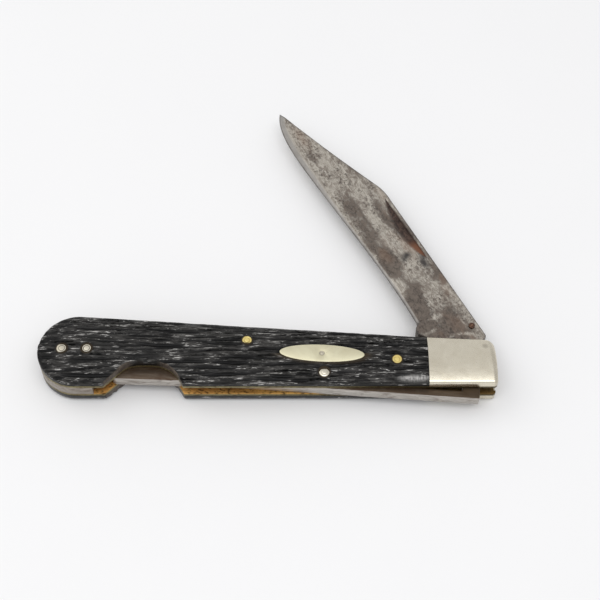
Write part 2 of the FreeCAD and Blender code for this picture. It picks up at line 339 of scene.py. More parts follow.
def jigged_black():
    """Black composition: gouges near black (partly painted shade), worn ridges greyed, painted glints on
    top.

    Attributes: ridge (uncut crown), rubbed (painted highlight on a smoothed, worn patch), stain (grime),
    wall (thumb cut-out).
    """
    s = Shader("jigged_black", 0.0, 0.3, 0.16)
    streak = s.noise(s.stretched((0.1, 1, 1)), 0.3, 4.0, 0.65)
    grain = s.noise(s.stretched((0.22, 1, 1)), 1.6, 6.0, 0.7, 0.5)
    chip = s.noise(s.stretched((0.22, 1, 1)), 0.5, 3.0, 0.6, 0.3)
    ridge = s.attribute("ridge")
    greyed = s.ramp(streak, (0.36, 0.0), (0.66, 1.0))
    worn = s.mix(greyed, linear(24, 23, 22), linear(96, 94, 91))
    # Near black wherever the ridge is cut: the black left in the gouges, deepened by painted shade in
    # the hollows.
    raised = s.calc("MULTIPLY", ridge, s.ramp(grain, (0.38, 0.3), (0.58, 1.0)))
    shade = s.mix(raised, linear(7, 7, 7), worn)
    # Painted glints: near white flecks on the ridges' streaks and chips, standing in for the lamp's
    # sharp highlights.
    streak_glints = s.ramp(streak, (0.57, 0.0), (0.63, 1.0))
    streak_glints = s.calc("MULTIPLY", streak_glints, s.ramp(grain, (0.5, 0.0), (0.58, 1.0)))
    chips = s.ramp(chip, (0.62, 0.0), (0.67, 1.0))
    chips = s.calc("MULTIPLY", chips, s.ramp(grain, (0.44, 0.0), (0.52, 1.0)))
    glint = s.calc("MULTIPLY", s.calc("ADD", streak_glints, chips), s.ramp(ridge, (0.15, 0.0), (0.5, 1.0)))
    # A painted highlight: the lamp's reflection on a worn, smoothed patch beside the bolster, broken by
    # fine ticks.
    ticks = s.noise(s.stretched((1, 0.15, 1)), 0.35, 3.0, 0.6)
    rub = s.calc("MULTIPLY", s.attribute("rubbed_highlight"), s.ramp(ticks, (0.34, 0.35), (0.6, 1.0)))
    # The glints and the worn patch's sheen are painted highlights, in near white.
    shade = s.mix(s.calc("MAXIMUM", glint, rub), shade, linear(182, 180, 177))
    shade = s.mix(s.attribute("stain"), shade, linear(70, 58, 40))
    sawn = s.ramp(grain, (0.35, 0.0), (0.65, 1.0))
    cut = s.mix(sawn, linear(54, 48, 43), linear(98, 88, 78))
    shade = s.mix(s.attribute("wall"), shade, cut)
    s.bump(s.mix(0.5, streak, grain), 0.6, 0.08)
    return s.finish(shade, s.ramp(streak, (0.3, 0.24), (0.75, 0.42)))


def nickel_silver(name, light, dull, rough):
    """Nickel silver: cloudy tarnish, dark specks, fine scratches. Attribute: ring (darker rims and
    rings).
    """
    s = Shader(name, 1.0, rough)
    cloud = s.noise(s.stretched((1, 1, 1)), 4.0, 4.0, 0.6, 0.6)
    speck = s.noise(s.stretched((1, 1, 1)), 0.35, 3.0, 0.6)
    scratch = s.noise(s.stretched((0.05, 1, 1), 0.35), 0.12, 2.0, 0.5)
    shade = s.mix(s.ramp(cloud, (0.35, 0.0), (0.7, 1.0)), light, dull)
    shade = s.mix(s.ramp(speck, (0.66, 0.0), (0.76, 0.5)), shade, linear(148, 136, 116))
    # On the bolster caps the ring darkening is painted shade on the front bevel plus a stain. On pin
    # heads it darkens their rings and rims.
    shade = s.mix(s.calc("MULTIPLY", s.attribute("ring"), 0.3), shade, linear(120, 112, 98))
    roughness = s.ramp(scratch, (0.3, rough - 0.06), (0.75, rough + 0.08))
    s.bump(scratch, 0.15, 0.008)
    return s.finish(shade, roughness)


def brass(name, light, dark, grime, size=2.6):
    """Brass with dark specks. Attributes: grime (darker towards the liners' front end) and ring (darker
    rings and rims on pin heads).
    """
    s = Shader(name, 1.0, 0.45)
    cloud = s.noise(s.stretched((0.3, 1, 1)), size, 5.0, 0.65, 0.5)
    speck = s.noise(s.stretched((0.5, 1, 1)), 0.5, 4.0, 0.6)
    shade = s.mix(s.ramp(cloud, (0.3, 0.0), (0.7, 1.0)), light, dark)
    shade = s.mix(s.ramp(speck, (0.5, 0.0), (0.64, grime)), shade, linear(66, 46, 30))
    # grime makes the liners darker towards their front end.
    shade = s.mix(s.attribute("grime"), shade, linear(74, 62, 40))
    shade = s.mix(s.calc("MULTIPLY", s.attribute("ring"), 0.55), shade, linear(120, 92, 44))
    s.bump(speck, 0.3, 0.02)
    return s.finish(shade, s.ramp(speck, (0.35, 0.38), (0.7, 0.68)))


def plain_steel(name, light, dark, stain, stained):
    """Scratched steel: light and dark along the grain, with brown stains. Attribute: grime (painted
    shade).
    """
    s = Shader(name, 0.8, 0.42)
    scratch = s.noise(s.stretched((0.06, 1, 1)), 0.22, 3.0, 0.6)
    cloud = s.noise(s.stretched((0.4, 1, 1)), 2.4, 5.0, 0.68, 0.6)
    shade = s.mix(s.ramp(scratch, (0.32, 0.0), (0.7, 1.0)), dark, light)
    stains = s.ramp(cloud, (0.62 - 0.3 * stained, 0.0), (0.78 - 0.2 * stained, 0.85))
    shade = s.mix(stains, shade, stain)
    # grime is painted shade, on the lock bar's front end.
    shade = s.mix(s.attribute("grime"), shade, linear(76, 64, 50))
    s.bump(scratch, 0.35, 0.02)
    return s.finish(shade, s.ramp(cloud, (0.3, 0.34), (0.72, 0.6)))


def blade_steel():
    """Worn carbon steel: pale scratched metal under a brown-grey patina, with dark pits and some rust.

    Attributes: patina, pitting, warm (light brown stains), bevel, rim (painted shade along the edges,
    and dark spots), nick (the nail nick's floor) and rust (its orange end). The turn lays the grain
    along the blade.
    """
    s = Shader("blade_steel", 0.6, 0.42)
    turn = OPEN_TURN
    blotch = s.noise(s.stretched((0.6, 1, 1), turn, (0.31, 0.17, 0)), 2.6, 7.0, 0.78, 0.9)
    mottle = s.noise(s.stretched((0.7, 1, 1), turn), 0.9, 5.0, 0.75, 0.6)
    pits = s.noise(s.stretched((0.8, 1, 1), turn), 0.6, 4.0, 0.7, 0.4)
    scratch = s.noise(s.stretched((0.05, 1, 1), turn), 0.16, 2.0, 0.55)
    scratched = s.ramp(scratch, (0.3, 0.0), (0.72, 1.0))
    pale = s.mix(scratched, linear(156, 149, 138), linear(200, 194, 183))
    mottled = s.ramp(mottle, (0.36, 0.0), (0.64, 1.0))
    dark = s.mix(mottled, linear(74, 67, 62), linear(128, 118, 108))
    amount = s.calc("MULTIPLY", s.attribute("patina"), 0.5)
    amount = s.calc("ADD", amount, s.calc("MULTIPLY", blotch, 0.35))
    amount = s.calc("ADD", amount, s.calc("MULTIPLY", mottle, 0.5))
    bevel = s.attribute("bevel")
    cover = s.ramp(amount, (0.54, 0.0), (0.73, 1.0))
    cover = s.calc("SUBTRACT", cover, s.calc("MULTIPLY", bevel, 0.6))
    shade = s.mix(cover, pale, dark)
    freckle = s.ramp(mottle, (0.46, 0.0), (0.62, 0.7))
    freckle = s.calc("MULTIPLY", freckle, s.calc("SUBTRACT", 1.0, bevel))
    shade = s.mix(freckle, shade, linear(112, 101, 92))
    pitted = s.calc("MULTIPLY", s.ramp(pits, (0.5, 0.0), (0.62, 0.8)), s.attribute("pitting"))
    shade = s.mix(pitted, shade, linear(70, 62, 57))
    shade = s.mix(s.attribute("warm"), shade, linear(140, 112, 92))
    bright = s.ramp(blotch, (0.35, 0.0), (0.68, 1.0))
    bright = s.mix(bright, linear(158, 156, 154), linear(128, 125, 122))
    shade = s.mix(s.calc("MULTIPLY", bevel, 0.75), shade, bright)
    # rim: painted shade along the blade's rounded edges, with dark stains by the nick.
    shade = s.mix(s.attribute("rim"), shade, linear(70, 66, 64))
    rust = s.ramp(mottle, (0.4, 0.0), (0.62, 1.0))
    rust = s.mix(rust, linear(50, 40, 36), linear(94, 76, 67))
    rust = s.mix(s.attribute("rust"), rust, linear(124, 84, 62))
    shade = s.mix(s.attribute("nick"), shade, rust)
    s.bump(s.mix(0.5, pits, scratch), 0.45, 0.03)
    return s.finish(shade, s.ramp(blotch, (0.3, 0.36), (0.7, 0.58)))


def rusty_pin():
    """Brown rust in three tones, with near black painted shade of its hole in the ring. Attribute: ring.
    """
    s = Shader("rusty_pin", 0.5, 0.6)
    cloud = s.noise(s.stretched((1, 1, 1)), 0.5, 4.0, 0.65)
    shade = s.ramp(cloud, (0.35, linear(70, 52, 44)), (0.55, linear(118, 84, 64)),
                   (0.75, linear(134, 116, 102)))
    # The ring's near black is painted shade: the shadowed wall of the hole round the pin.
    shade = s.mix(s.attribute("ring"), shade, linear(30, 22, 19))
    s.bump(cloud, 0.5, 0.04)
    return s.finish(shade)


JIGGED = jigged_black()
BOLSTER_METAL = nickel_silver("bolster_nickel", linear(226, 219, 201), linear(214, 206, 187), 0.29)
SHIELD_METAL = nickel_silver("shield_nickel", linear(230, 225, 195), linear(220, 213, 182), 0.45)
PIN_NICKEL = nickel_silver("pin_nickel", linear(228, 222, 206), linear(196, 188, 168), 0.34)
PIN_BRASS = brass("pin_brass", linear(246, 230, 158), linear(226, 200, 118), 0.25, 0.8)
LINER_FACE = brass("liner_face", linear(214, 170, 98), linear(160, 120, 70), 0.85, 4.0)
LINER_RIM = brass("liner_rim", linear(158, 150, 112), linear(116, 106, 78), 0.6)
BAR_FACE = plain_steel("bar_face", linear(120, 108, 94), linear(92, 80, 68), linear(74, 56, 44), 1.0)
BAR_RIM = plain_steel("bar_rim", linear(206, 201, 194), linear(150, 144, 137), linear(104, 88, 76), 0.35)
SPACER_RIM = plain_steel("spacer_rim", linear(176, 168, 158), linear(130, 122, 114), linear(96, 80, 66),
                         0.4)
BLADE = blade_steel()
RUSTY = rusty_pin()

# ------------------------------------------------------------------ covers: scales and bolsters

# The grid of a cover: columns along the handle, rows across it.
COLUMN_STEP = 0.18
ROWS = 84
RIM_ROWS = (0.0, 0.06, 0.14, 0.26, 0.42, 0.62)
END_COLUMNS = (0.0, 0.02, 0.06, 0.12, 0.2, 0.3, 0.42, 0.56, 0.72)
END_REACH = 0.85
AT_END = 0.05
INSET = 0.002  # how far inside the handle's ends its plan is read
RIM_START = 0.001
RIM_STEP = 0.12
RIM_END_POINTS = 60
CHUNK = 4000  # grid points measured at a time
COVER_SMOOTH_DEG = 50.0

# The crown: how far it drops to each side, over what reach, and its rims.
CROWN_DROP_TOP = 1.4
CROWN_DROP_BACK = 0.95
UNDER_DROP = 0.65
CROWN_TURN = 2.0
CROWN_REACH = 6.0
RIM_R = 0.5
SCALE_SUNK = 0.08
BUTT_REACH = 12.0
FRONT_DROP = 0.4
FRONT_FACET_W = 0.75
FRONT_FACET_SPLAY = 0.08
CUT_RIM_R = 0.22
THINNEST = 0.25

# What the jigging keeps clear of, and how it fades out at the rim.
PIN_NODES = ("front_scale_pin_rear", "front_scale_pin_front", "butt_pin_rear", "butt_pin_front",
             "lock_bar_pin")
PIN_HEAD_R = 0.1
PIN_CLEAR = 0.9
SHIELD_TILT = math.radians(-2.7)
SHIELD_HALF_W = 2.33
SHIELD_CLEAR = (0.05, 0.45)
RIM_FADE = 0.5
RIM_SHARE = 0.2

# The jigging cutter's long gouges and short chips, and the fine roughness over both.
GOUGE_LENGTH = (4.0, 15.0)
GOUGE_WIDTH = (0.4, 1.15)
GOUGE_DEPTH = (0.2, 0.6)
GOUGE_TILT = 0.035
GOUGE_BOW = 0.8
GOUGE_STAGGER = 0.3
GOUGE_PITCH = (0.75, 1.25)
GOUGE_SPACING = (0.7, 1.3)
GOUGE_START = 8
CHIPS = 900
CHIP_LENGTH = (1.0, 4.5)
CHIP_WIDTH = (0.22, 0.45)
CHIP_DEPTH = (0.1, 0.3)
CHIP_TILT = 0.1
BOW_MIDDLE = 0.4
BOW_SHARE = 0.6
FLANK_POWER = 0.7
STROKE_MARGIN = 0.2
ROUGH = 0.05
FRONT_JIG_SEED = 4
BACK_JIG_SEED = 21

# Marks on the covers and bolsters: where each is, how far it reaches and how strong it is.
RIDGE_DEPTH = 0.4
RIDGE_POWER = 1.5
# A painted highlight on a worn, smoothed patch of the scale beside the bolster: its centre and reach.
RUBBED_HIGHLIGHT_AT = (-12.8, -6.6)
RUBBED_HIGHLIGHT_REACH = (3.4, 0.6)
SHIELD_GRIME = 0.55
SHIELD_GRIME_GAP = 0.1
SHIELD_GRIME_W = 0.3
PIN_GRIME = 0.5
PIN_GRIME_REACH = 0.45
WALL_ROWS = 3
WALL_RISE = (0.05, 0.4)
WALL_SLOPE = (0.1, 0.6)
# Painted shade on the bolster's front bevel, standing in for the darker surroundings it reflects: where
# it fades in, and how strong it is.
FACET_SOFT = (-0.1, 0.15)
FACET_SHADE = 0.8
BOLSTER_STAIN_AT = (4.4, 2.0)
BOLSTER_STAIN_R = 0.75
BOLSTER_STAIN = 1.3

HANDLE_EDGES = node_edges("front_liner")


def handle_plan(xs):
    """The handle's plan at each x: the liner's own low and high, and the low with no thumb cut-out."""
    low, high = span_at(HANDLE_EDGES, xs)
    past_cut = xs > middle_mm("butt_pin_front").x
    return low, high, np.where(past_cut, np.minimum(low, BACK_Y), low)


def plan_inside(xs):
    """The handle's plan, read just inside its ends where x is at or beyond them."""
    return handle_plan(np.clip(xs, HANDLE_LOW.x + INSET, HANDLE_HIGH.x - INSET))


def outline_points(step):
    """The handle's rim without its cut-out, as points, for measuring distances to it."""
    xs = np.arange(HANDLE_LOW.x + RIM_START, HANDLE_HIGH.x, step)
    _, high, low = handle_plan(xs)
    sides = [np.stack([xs, low], 1), np.stack([xs, high], 1)]
    for end_x, k in ((HANDLE_HIGH.x, -1), (HANDLE_LOW.x, 0)):
        end_y = np.linspace(low[k], high[k], RIM_END_POINTS)
        sides.append(np.stack([np.full(RIM_END_POINTS, end_x), end_y], 1))
    return np.concatenate(sides)


RIM_POINTS = outline_points(RIM_STEP)


def distance_to(points, x, y):
    """Distance from each grid point to the nearest of a set of points."""
    out = np.empty(x.size)
    flat = np.stack([x.ravel(), y.ravel()], 1)
    for start in range(0, len(flat), CHUNK):
        part = flat[start:start + CHUNK]
        gap = part[:, None, :] - points[None, :, :]
        out[start:start + CHUNK] = np.sqrt((gap ** 2).sum(2)).min(1)
    return out.reshape(x.shape)


def front_facet(x, y):
    """How far down the front end's bevel each point is: 0 on its inner line, 1 at the end."""
    width = FRONT_FACET_W + FRONT_FACET_SPLAY * (y - HANDLE_LOW.y)
    return 1 - (HANDLE_HIGH.x - x) / width


def crown(x, y, top, under=False):
    """A cover's outer face, and each point's distance from the handle's rim.

    The face has a crown, a bevelled front end and rounded rims. under makes the crown flatter.
    """
    rim = distance_to(RIM_POINTS, x, y)
    _, high, low = plan_inside(x.ravel())
    sides = np.minimum(y.ravel() - low, high - y.ravel()).reshape(x.shape)
    away = np.where(x < HANDLE_LOW.x + BUTT_REACH, rim, sides)
    middle = ((low + high) / 2).reshape(x.shape)
    drop = UNDER_DROP
    if not under:
        to_top = smoothstep(-CROWN_TURN, CROWN_TURN, y - middle)
        drop = CROWN_DROP_BACK + (CROWN_DROP_TOP - CROWN_DROP_BACK) * to_top
    pillow = drop * (1 - np.clip(away / CROWN_REACH, 0, 1)) ** 2
    front = FRONT_DROP * np.clip(front_facet(x, y), 0, 1)
    edge = RIM_R - np.sqrt(np.maximum(RIM_R ** 2 - np.maximum(RIM_R - rim, 0) ** 2, 0))
    return top - pillow - front - edge, rim


def near_pins(x, y, reach):
    """How close each point is to a pin's head: 1 on it, 0 beyond its reach."""
    near = np.zeros_like(x)
    for node in PIN_NODES:
        centre = middle_mm(node)
        radius = (box_mm(node)[1].x - box_mm(node)[0].x) / 2
        gap = np.hypot(x - centre.x, y - centre.y) - radius
        near = np.maximum(near, 1 - smoothstep(PIN_HEAD_R, reach, gap))
    return near


def shield_gap(x, y):
    """Rough distance from the shield's edge: negative inside."""
    centre = middle_mm("shield")
    low, high = box_mm("shield")
    half_l = (high.x - low.x) / 2
    u = (x - centre.x) * math.cos(SHIELD_TILT) + (y - centre.y) * math.sin(SHIELD_TILT)
    v = -(x - centre.x) * math.sin(SHIELD_TILT) + (y - centre.y) * math.cos(SHIELD_TILT)
    ring = np.hypot(u / half_l, v / SHIELD_HALF_W)
    return (ring - 1) * SHIELD_HALF_W


def strokes(draw, low, high):
    """The jigging cutter's strokes: long staggered gouges, then short chips on the ridges.

    Each is its centre, length, width, depth, tilt and bow.
    """
    made = []
    y = low.y
    while y < high.y:
        x = low.x - draw.uniform(0, GOUGE_START)
        while x < high.x:
            length = draw.uniform(*GOUGE_LENGTH)
            made.append((
                x + length / 2, y + draw.gauss(0, GOUGE_STAGGER), length,
                draw.uniform(*GOUGE_WIDTH), draw.uniform(*GOUGE_DEPTH),
                draw.gauss(0, GOUGE_TILT), draw.uniform(-GOUGE_BOW, GOUGE_BOW),
            ))
            x += length * draw.uniform(*GOUGE_SPACING)
        y += draw.uniform(*GOUGE_PITCH)
    for _ in range(CHIPS):
        made.append((
            draw.uniform(low.x, high.x), draw.uniform(low.y, high.y), draw.uniform(*CHIP_LENGTH),
            draw.uniform(*CHIP_WIDTH), draw.uniform(*CHIP_DEPTH), draw.gauss(0, CHIP_TILT), 0.0,
        ))
    return made


def jigging(x, y, xs, draw):
    """Depth cut below the crown at each grid point."""
    low, high = box_mm("front_scale")
    depth = np.zeros_like(x)
    for cx, cy, length, width, cut, tilt, bow in strokes(draw, low, high):
        first = np.searchsorted(xs, cx - length / 2 - STROKE_MARGIN)
        last = np.searchsorted(xs, cx + length / 2 + STROKE_MARGIN)
        if last - first < 2:
            continue
        dx, dy = x[first:last] - cx, y[first:last] - cy
        u = dx / (length / 2)
        v = (dy - tilt * dx - bow * (u * u - BOW_MIDDLE) * BOW_SHARE) / (width / 2)
        shape = np.sqrt(np.clip(1 - u * u, 0, 1)) * np.clip(1 - v * v, 0, 1) ** FLANK_POWER
        depth[first:last] = np.maximum(depth[first:last], cut * shape)
    depth += ROUGH * (fractal(x * 0.3, y, size=0.9, seed=5) - 0.5)
    return depth


def stations(x0, x1):
    """Columns from x0 to x1 along the handle, close together where one is the handle's own end."""
    xs = np.linspace(x0, x1, int((x1 - x0) / COLUMN_STEP))
    ease = np.array(END_COLUMNS)
    if x0 <= HANDLE_LOW.x + AT_END:
        xs = np.concatenate([x0 + ease, xs[xs > x0 + END_REACH]])
    if x1 >= HANDLE_HIGH.x - AT_END:
        xs = np.concatenate([xs[xs < x1 - END_REACH], x1 - ease[::-1]])
    return xs


def cut_wall(xs, low):
    """Which columns end on the thumb cut-out's sloping walls, from 0 to 1."""
    slope = np.abs(np.gradient(low, xs))
    raised = smoothstep(*WALL_RISE, low - BACK_Y)
    return raised * smoothstep(*WALL_SLOPE, slope) * (xs > HANDLE_LOW.x + BUTT_REACH)


def jigged_face(x, y, xs, low, away, draw, flip):
    """How deep a scale is cut at each grid point, clear of pins and shield, and its material's marks."""
    depth = jigging(x, y, xs, draw)
    keep = near_pins(x, y, PIN_CLEAR)
    stain = np.zeros_like(x)
    if not flip:
        gap = shield_gap(x, y)
        keep = np.maximum(keep, 1 - smoothstep(*SHIELD_CLEAR, gap))
        stain = SHIELD_GRIME * np.exp(-((gap - SHIELD_GRIME_GAP) / SHIELD_GRIME_W) ** 2)
        stain *= y < middle_mm("shield").y
    depth *= 1 - keep
    depth *= smoothstep(0.0, RIM_FADE, away) * (1 - RIM_SHARE) + RIM_SHARE
    ridge = np.clip(1 - depth / RIDGE_DEPTH, 0, 1) ** RIDGE_POWER * (1 - keep)
    stain = np.maximum(stain, PIN_GRIME * near_pins(x, y, PIN_GRIME_REACH))
    # The painted highlight of the worn, smoothed patch beside the bolster.
    along, across = (x - RUBBED_HIGHLIGHT_AT[0]) / RUBBED_HIGHLIGHT_REACH[0], (y - RUBBED_HIGHLIGHT_AT[1]) / RUBBED_HIGHLIGHT_REACH[1]
    rubbed_highlight = np.exp(-along ** 4 - across ** 2)
    wall = np.zeros_like(x)
    wall_low = cut_wall(xs, low)
    wall[:, :WALL_ROWS] = wall_low[:, None]
    marks = {"ridge": ridge.ravel(), "stain": stain.ravel(), "rubbed_highlight": rubbed_highlight.ravel(),
             "wall": np.concatenate([wall.ravel(), wall_low])}
    return depth, marks


def cover_faces(columns, rows):
    """The outer grid's faces, and the walls and flat base below it. The base's points come last."""
    faces = column_faces(columns, rows)
    base = columns * rows
    for i in range(columns - 1):
        near, far = i * rows, (i + 1) * rows
        low, high = base + i, base + columns + i
        faces.append((near, low, low + 1, far))
        faces.append((near + rows - 1, far + rows - 1, high + 1, high))
        faces.append((low, high, high + 1, low + 1))
    for i in (0, columns - 1):
        faces.append(tuple([i * rows + j for j in range(rows)] + [base + columns + i, base + i]))
    return faces


def cover_mesh(name, x0, x1, top, material, draw, flip):
    """A cover between two stations along the handle, with a flat face on its liner.

    It is shaped as the visible one, and flip turns it over for the other side. draw is the jigging's
    random source, or None for a plain cover.
    """
    xs = stations(x0, x1)
    low, high, _ = plan_inside(xs)
    y = rows_between(low, high, ROWS, RIM_ROWS)
    x = np.repeat(xs[:, None], y.shape[1], 1)
    z, away = crown(x, y, top, flip)
    own = np.minimum(y - low[:, None], high[:, None] - y)
    z -= np.where(own < CUT_RIM_R, 0.5 * (CUT_RIM_R - own) ** 2 / CUT_RIM_R, 0)
    marks = {}
    if draw is not None:
        depth, marks = jigged_face(x, y, xs, low, away, draw, flip)
        z -= depth
    z = np.maximum(z, FRONT_LINER_Z + THINNEST)
    base_z = np.full(2 * len(xs), FRONT_LINER_Z)
    base = np.stack([np.tile(xs, 2), np.concatenate([low, high]), base_z], 1)
    points = np.concatenate([np.stack([x, y, z], 2).reshape(-1, 3), base])
    if flip:
        points[:, 2] = 2 * MID_Z - points[:, 2]
    piece = make_piece(name, points, cover_faces(*y.shape), material, "handle", COVER_SMOOTH_DEG)
    for attribute, values in marks.items():
        set_attribute(piece, attribute, values)
    return piece


def covers():
    for side, flip in (("front", False), ("back", True)):
        bolster = cover_mesh(side + "_bolster_cap", BOLSTER_X, HANDLE_HIGH.x, TOP_Z,
                             BOLSTER_METAL, None, flip)
        x, y, _ = points_mm(bolster).T
        facet = smoothstep(*FACET_SOFT, front_facet(x, y))
        from_stain = np.hypot(x - BOLSTER_STAIN_AT[0], y - BOLSTER_STAIN_AT[1])
        stain = np.exp(-(from_stain / BOLSTER_STAIN_R) ** 4)
        # Painted shade on the front bevel, plus a stain on the visible bolster.
        set_attribute(bolster, "ring", FACET_SHADE * facet + (0 if flip else BOLSTER_STAIN) * stain)
        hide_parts(side + "_bolster")
        draw = random.Random(BACK_JIG_SEED if flip else FRONT_JIG_SEED)
        scale = cover_mesh(side + "_scale_jigged", HANDLE_LOW.x, SCALE_X, TOP_Z - SCALE_SUNK,
                           JIGGED, draw, flip)
        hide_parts(side + "_scale")


covers()

# ------------------------------------------------------------------ the blade

# The blade is shaped fully open, its edge at high y, and turned back to rest at the end.
BLADE_STEP = 0.2
BLADE_ROWS = 66
BLADE_RIM_ROWS = (0.0, 0.05, 0.12, 0.22)
END_INSET = (0.005, 0.02)
BLADE_SMOOTH_DEG = 40.0
BEVEL_W = 0.7
BEVEL_TIP_W = 0.9
BEVEL_WIDENS_X = (45.0, 75.0)
BEVEL_WAVER = 0.4
BEVEL_BOW = 0.8
BEVEL_END = (0.55, 1.15)
SHARPENED_X = (-0.2, 1.5)
EDGE_HALF = 0.05
GRIND_EDGE_HALF = 0.3
SPINE_DROP = 0.12
SPINE_R = 0.25
PLUNGE_SPINE_X = 16.6
PLUNGE_EDGE_X = 13.9
PLUNGE_SOFT = 0.9
NICK_X = (29.6, 50.8)
NICK_WALL_Y = -6.95
NICK_W = 2.6
NICK_DEPTH = 0.5
NICK_LEAN = -0.05
NICK_END_POWER = 0.85
NO_WIDTH = 1e-6
NICK_FADE = (0.6, 1.0)
NICK_FADED = 0.45
NICK_RUST_IN = (-1.0, -0.8)
NICK_RUST_OUT = (-0.62, -0.3)
PIT_DEPTH = 0.035
PIT_EDGE = (0.5, 0.75)

# How the clouds of patina, pits and stains are cut, and the painted shade along the blade's rim.
PATINA_LEVEL = 0.42
PATINA_CONTRAST = 1.3
PITTING_EDGE = (0.5, 0.72)
PITTING_GATHERS = 0.5
WARM_EDGE = (0.6, 0.78)
WARM_STRENGTH = 0.3
BEVEL_CLEAN = 0.85
RIM_SHADE = 0.8
RIM_SHADE_REACH = (0.12, 0.4)
RIM_EVEN = 0.6
RIM_UNEVEN = 0.8
RIM_CLOUD = 0.3

# Where the patina is rubbed off the tang: a ring round the pivot, and a slanting line across its front.
RUB = 0.5
RUB_RING_R = 7.2
RUB_RING_W = 0.5
RUB_LINE = 0.8
RUB_LINE_AT = (13.6, 1.0)
RUB_LINE_SLANT = 0.1
RUB_LINE_W = 0.45
RUB_LINE_FROM_Y = (-3.0, 0.0)

# Where the patina is thick (+) or rubbed off (-): centre, reach along and across, weight.
PATINA = [
    (18.5, 1.8, 5.0, 2.8, 0.65), (33.0, 2.6, 6.0, 2.0, 0.5), (45.0, 2.3, 6.5, 1.6, 0.5),
    (56.0, 3.0, 5.0, 1.8, 0.25), (64.0, 2.5, 6.0, 3.0, 0.12), (49.0, 0.6, 3.5, 0.5, 0.4),
    (36.0, -1.6, 14.0, 1.4, -0.45), (26.0, 3.4, 2.4, 1.0, -0.5), (28.0, 0.6, 3.0, 1.0, -0.2),
    (56.0, -2.0, 7.0, 2.6, -0.3), (72.0, 5.0, 12.0, 1.6, -0.3), (70.0, 1.0, 8.0, 1.6, -0.15),
    (24.0, -5.0, 6.0, 1.6, -0.3), (8.0, 0.5, 5.0, 5.0, 0.9), (10.5, 3.0, 0.7, 2.0, -0.5),
    (19.0, -3.4, 7.0, 1.2, -0.35), (11.0, -5.0, 3.0, 2.0, -0.2),
]
# The dark spots by the nail nick, on the visible side, in the same form.
SPOT = [
    (32.8, -2.7, 1.0, 1.3, 1.0), (31.9, -1.7, 0.7, 0.6, 0.6), (28.9, -5.5, 2.0, 0.9, 1.2),
    (31.0, -6.3, 1.6, 0.5, 0.5),
]
# Where small pits gather, in the same form.
SPECKLED = [
    (57.0, 3.2, 6.0, 1.6, 0.5), (68.0, 3.0, 8.0, 2.0, 0.35), (79.0, 3.0, 4.0, 1.2, 0.6),
    (46.0, 3.4, 5.0, 1.2, 0.5), (35.0, 3.2, 6.0, 1.4, 0.4), (20.0, -3.4, 6.0, 1.4, 0.2),
    (60.0, -2.0, 4.0, 1.6, 0.2), (18.0, -4.5, 8.0, 2.0, 0.35), (40.0, -3.0, 10.0, 1.2, 0.2),
    (11.0, -1.0, 2.0, 4.0, 0.4),
]
# One light brown stain near the tip, in the same form.
WARM = [(79, 2.6, 4.0, 1.2, 0.35)]


def blobs(x, y, spots):
    """The sum of soft round spots."""
    total = np.zeros_like(x)
    for cx, cy, rx, ry, weight in spots:
        total += weight * np.exp(-((x - cx) / rx) ** 2 - ((y - cy) / ry) ** 2)
    return total


def blade_half_thickness(x, y, low, high):
    """Half the blade's thickness over its open plan, and how far each point is on the bevel, 0 to 1."""
    edge_y = float(high[x[:, 0] > PLUNGE_SPINE_X].max())
    share = (y - BACK_Y) / (edge_y - BACK_Y)
    ground = BLADE_HALF_T + (GRIND_EDGE_HALF - BLADE_HALF_T) * share
    plunge = PLUNGE_EDGE_X + (PLUNGE_SPINE_X - PLUNGE_EDGE_X) * (1 - share)
    z = BLADE_HALF_T + (ground - BLADE_HALF_T) * smoothstep(-PLUNGE_SOFT, PLUNGE_SOFT, x - plunge)
    to_edge = high[:, None] - y
    width = BEVEL_W + BEVEL_TIP_W * smoothstep(*BEVEL_WIDENS_X, x)
    waver = fractal(x * 0.3, y * 0.2, size=4.0, seed=60)
    width = width * (1 - BEVEL_WAVER / 2 + BEVEL_WAVER * waver)
    sharp = smoothstep(PLUNGE_EDGE_X + SHARPENED_X[0], PLUNGE_EDGE_X + SHARPENED_X[1], x)
    bevelled = EDGE_HALF + (z - EDGE_HALF) * np.clip(to_edge / width, 0, 1) ** BEVEL_BOW
    z = z + (np.minimum(z, bevelled) - z) * sharp
    bevel = (1 - smoothstep(*BEVEL_END, to_edge / width)) * sharp
    z = z - SPINE_DROP * (1 - np.clip((y - low[:, None]) / SPINE_R, 0, 1)) ** 2
    return z, bevel


def nail_nick(x, y):
    """Depth of the nail nick, how much of its look each point has, and how orange its rust is."""
    u = (x - sum(NICK_X) / 2) / ((NICK_X[1] - NICK_X[0]) / 2)
    lean = u - NICK_LEAN * (1 - u * u)
    bow = np.clip(1 - lean * lean, 0, 1) ** NICK_END_POWER * (abs(u) < 1)
    v = (y - NICK_WALL_Y) / np.maximum(bow * NICK_W, NO_WIDTH)
    inside = (v >= 0) & (v <= 1) & (bow > 0)
    depth = np.where(inside, NICK_DEPTH * (1 - v) * np.sqrt(bow), 0)
    soft = np.where(inside, 1.0, 0.0) * (1 - NICK_FADED * smoothstep(*NICK_FADE, v))
    rust = (1 - smoothstep(*NICK_RUST_OUT, u)) * smoothstep(*NICK_RUST_IN, u) * inside
    return depth, soft, rust


